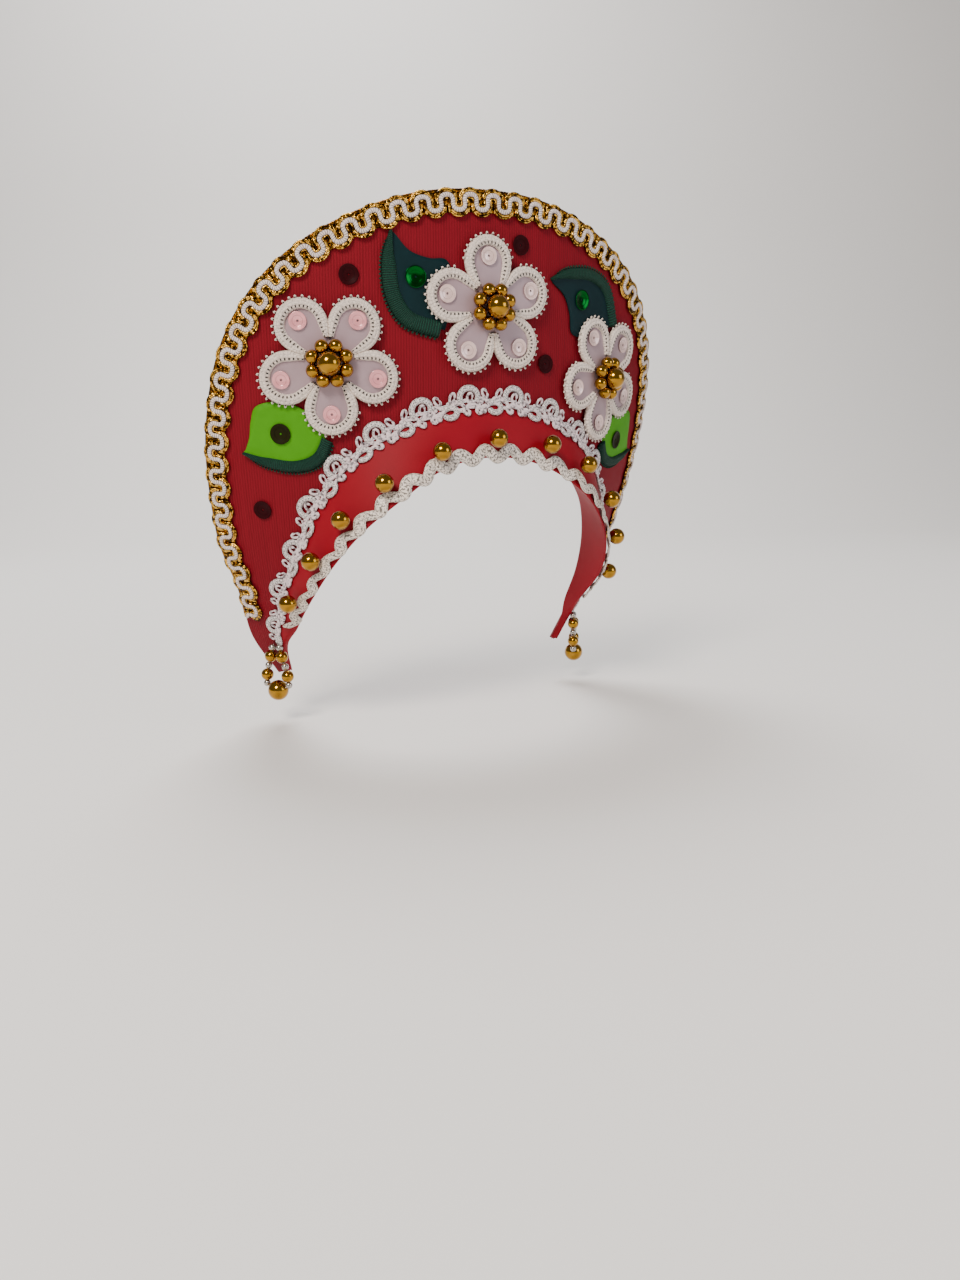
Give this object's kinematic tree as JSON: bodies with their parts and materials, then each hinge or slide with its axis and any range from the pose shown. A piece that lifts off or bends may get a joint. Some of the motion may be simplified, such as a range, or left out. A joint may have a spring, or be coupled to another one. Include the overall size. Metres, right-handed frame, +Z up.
{
  "type": "kokoshnik headdress",
  "caption": "Crescent kokoshnik of red cloth on a folded brow band, with gold braid, white lace, zigzag tape, flowers, leaves, sequins and gilt beads.",
  "frame": {"origin": "seat of the brow band on the forehead, at the middle of the brow", "axes": "+X to the right seen from the front, +Y from the brow to the back, +Z up"},
  "size_m": [0.2566, 0.107, 0.2472],
  "materials": {
    "red_cloth": "finely ribbed red costume cloth over a stiff board",
    "gold_braid": "gold lurex gimp with a white serpentine cord",
    "white_trim": "white cotton lace and woven edging with a silver thread",
    "silver_tape": "silver white lurex zigzag tape",
    "petal_satin": "pale mauve satin",
    "dark_leaf": "dark teal satin",
    "lime_leaf": "lime green satin",
    "green_cord": "dark green gimp edging",
    "gilt_bead": "mirror bright gilt",
    "pink_sequin": "clear pink, iridescent",
    "green_sequin": "emerald, mirror bright",
    "red_sequin": "dark red, glossy"
  },
  "bodies": {
    "root": {"shield": "red_cloth", "brow_band": "red_cloth", "gold_braid": "gold_braid", "lace_trim": "white_trim", "ric_rac": "silver_tape", "brow_bead_1": "gilt_bead", "brow_bead_2": "gilt_bead", "brow_bead_3": "gilt_bead", "brow_bead_4": "gilt_bead", "brow_bead_5": "gilt_bead", "brow_bead_6": "gilt_bead", "brow_bead_7": "gilt_bead", "brow_bead_8": "gilt_bead", "brow_bead_9": "gilt_bead", "brow_bead_10": "gilt_bead", "brow_bead_11": "gilt_bead", "flower_left_petals": "petal_satin", "flower_left_edging": "white_trim", "flower_left_bead_cluster": "gilt_bead", "flower_left_sequin_1": "pink_sequin", "flower_left_sequin_2": "pink_sequin", "flower_left_sequin_3": "pink_sequin", "flower_left_sequin_4": "pink_sequin", "flower_left_sequin_5": "pink_sequin", "flower_centre_petals": "petal_satin", "flower_centre_edging": "white_trim", "flower_centre_bead_cluster": "gilt_bead", "flower_centre_sequin_1": "pink_sequin", "flower_centre_sequin_2": "pink_sequin", "flower_centre_sequin_3": "pink_sequin", "flower_centre_sequin_4": "pink_sequin", "flower_centre_sequin_5": "pink_sequin", "flower_right_petals": "petal_satin", "flower_right_edging": "white_trim", "flower_right_bead_cluster": "gilt_bead", "flower_right_sequin_1": "pink_sequin", "flower_right_sequin_2": "pink_sequin", "flower_right_sequin_3": "pink_sequin", "flower_right_sequin_4": "pink_sequin", "flower_right_sequin_5": "pink_sequin", "leaf_upper_left": "dark_leaf", "leaf_upper_left_cord": "green_cord", "leaf_upper_left_sequin": "green_sequin", "leaf_upper_right": "dark_leaf", "leaf_upper_right_cord": "green_cord", "leaf_upper_right_sequin": "green_sequin", "leaf_lower_left": "lime_leaf", "leaf_lower_left_cord": "green_cord", "leaf_lower_left_sequin": "green_sequin", "leaf_lower_right": "lime_leaf", "leaf_lower_right_cord": "green_cord", "leaf_lower_right_sequin": "green_sequin", "sequin_upper_left": "red_sequin", "sequin_lower_left": "red_sequin", "sequin_crown": "red_sequin", "sequin_brow": "red_sequin", "pendant_left": "gilt_bead", "pendant_right": "gilt_bead"}
  },
  "joints": []
}
